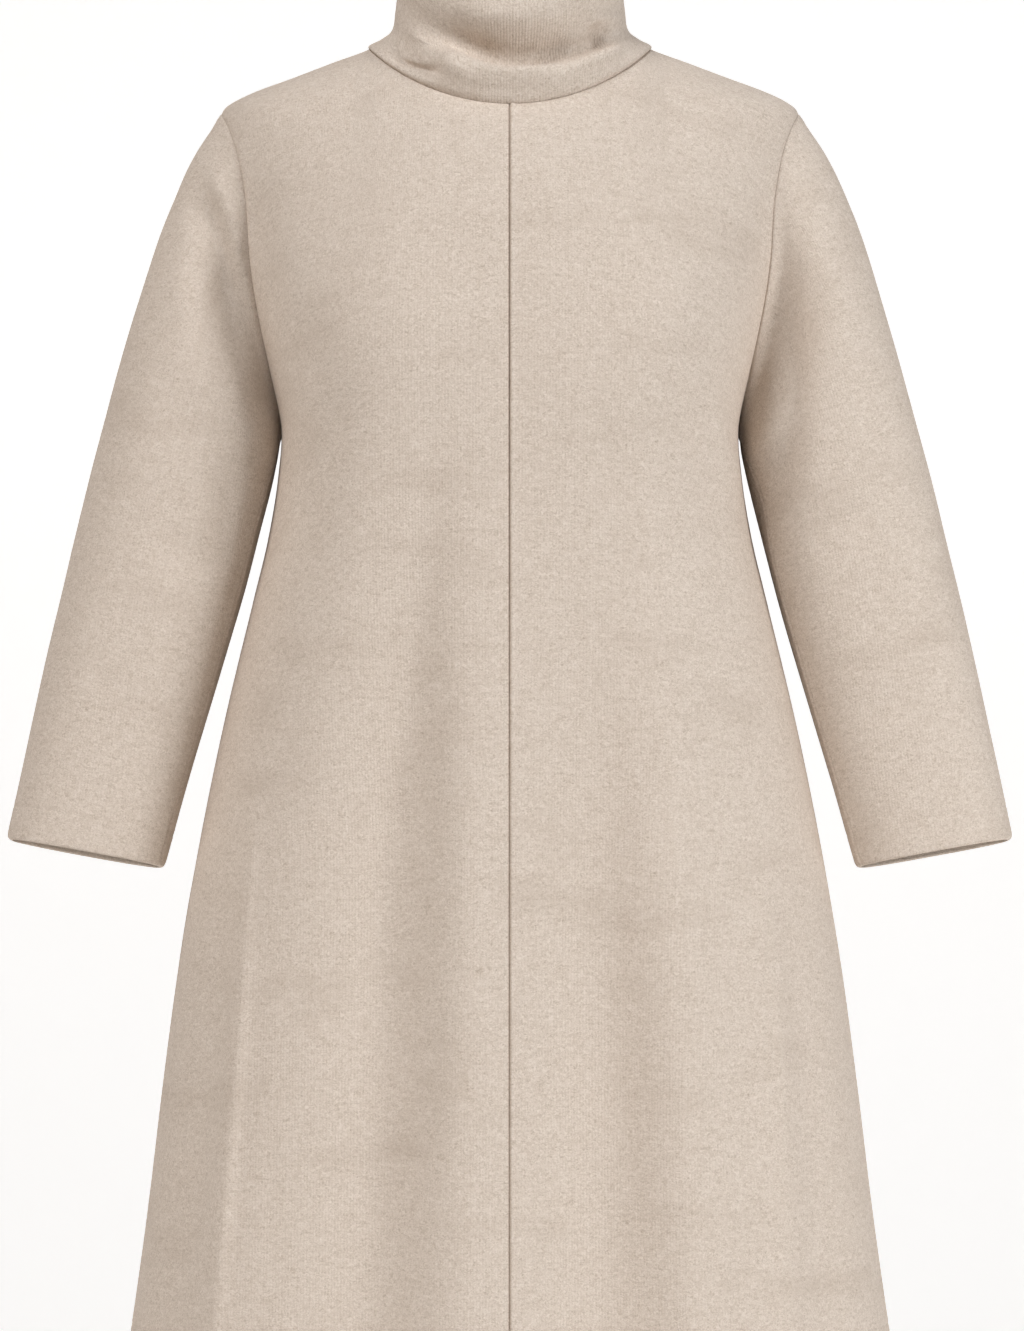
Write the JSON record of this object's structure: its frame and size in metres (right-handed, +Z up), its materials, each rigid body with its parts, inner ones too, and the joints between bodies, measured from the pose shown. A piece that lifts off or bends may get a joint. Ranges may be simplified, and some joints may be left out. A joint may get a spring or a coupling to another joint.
{
  "type": "tunic dress",
  "caption": "Hollow A-line tunic dress in brushed jersey, held in its worn shape, with a slouching funnel collar, a centre-front seam and bracelet-length set-in sleeves.",
  "frame": {"origin": "middle of the neck, level with the points where the shoulder seams meet the collar, where the shoulders of a wearer or a hanger carry the dress", "axes": "+Z up along the dress, the front faces -Y, +X towards the wearer's left sleeve"},
  "size_m": [0.736, 0.3929, 1.0415],
  "materials": {
    "jersey": "matte brushed oatmeal heather"
  },
  "bodies": {
    "root": {"front_left": "jersey", "front_right": "jersey", "back": "jersey", "sleeve_left": "jersey", "sleeve_right": "jersey", "collar": "jersey"}
  },
  "joints": []
}
